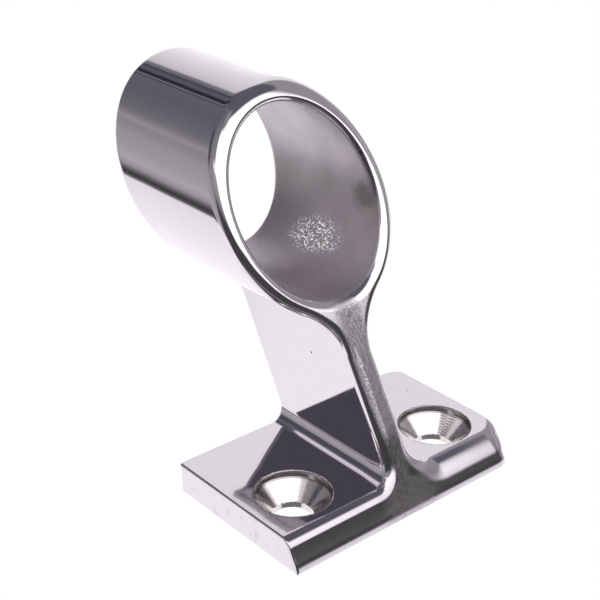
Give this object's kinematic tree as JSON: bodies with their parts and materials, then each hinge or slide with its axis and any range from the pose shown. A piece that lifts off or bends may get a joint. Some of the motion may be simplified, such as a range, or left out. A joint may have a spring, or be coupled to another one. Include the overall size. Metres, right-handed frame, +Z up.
{
  "type": "stanchion base",
  "caption": "Raked through-ring on a leaning web and a flat screw-down foot; holds a 25 mm handrail tube parallel to a deck or cabin side.",
  "frame": {"origin": "on the underside of the foot, midway between the two screw holes", "axes": "+X along the foot through both screw holes, +Y along the rail bore, the way the fitting leans, +Z up out of the mounting surface"},
  "size_m": [0.0458, 0.0585, 0.0576],
  "materials": {
    "rail_ring": "mirror-polished stainless steel, satin bore",
    "web": "mirror-polished stainless steel, hand-ground front edge",
    "foot": "mirror-polished stainless steel, machined countersinks"
  },
  "bodies": {
    "root": {"rail_ring": "rail_ring", "web": "web", "foot": "foot"}
  },
  "joints": []
}
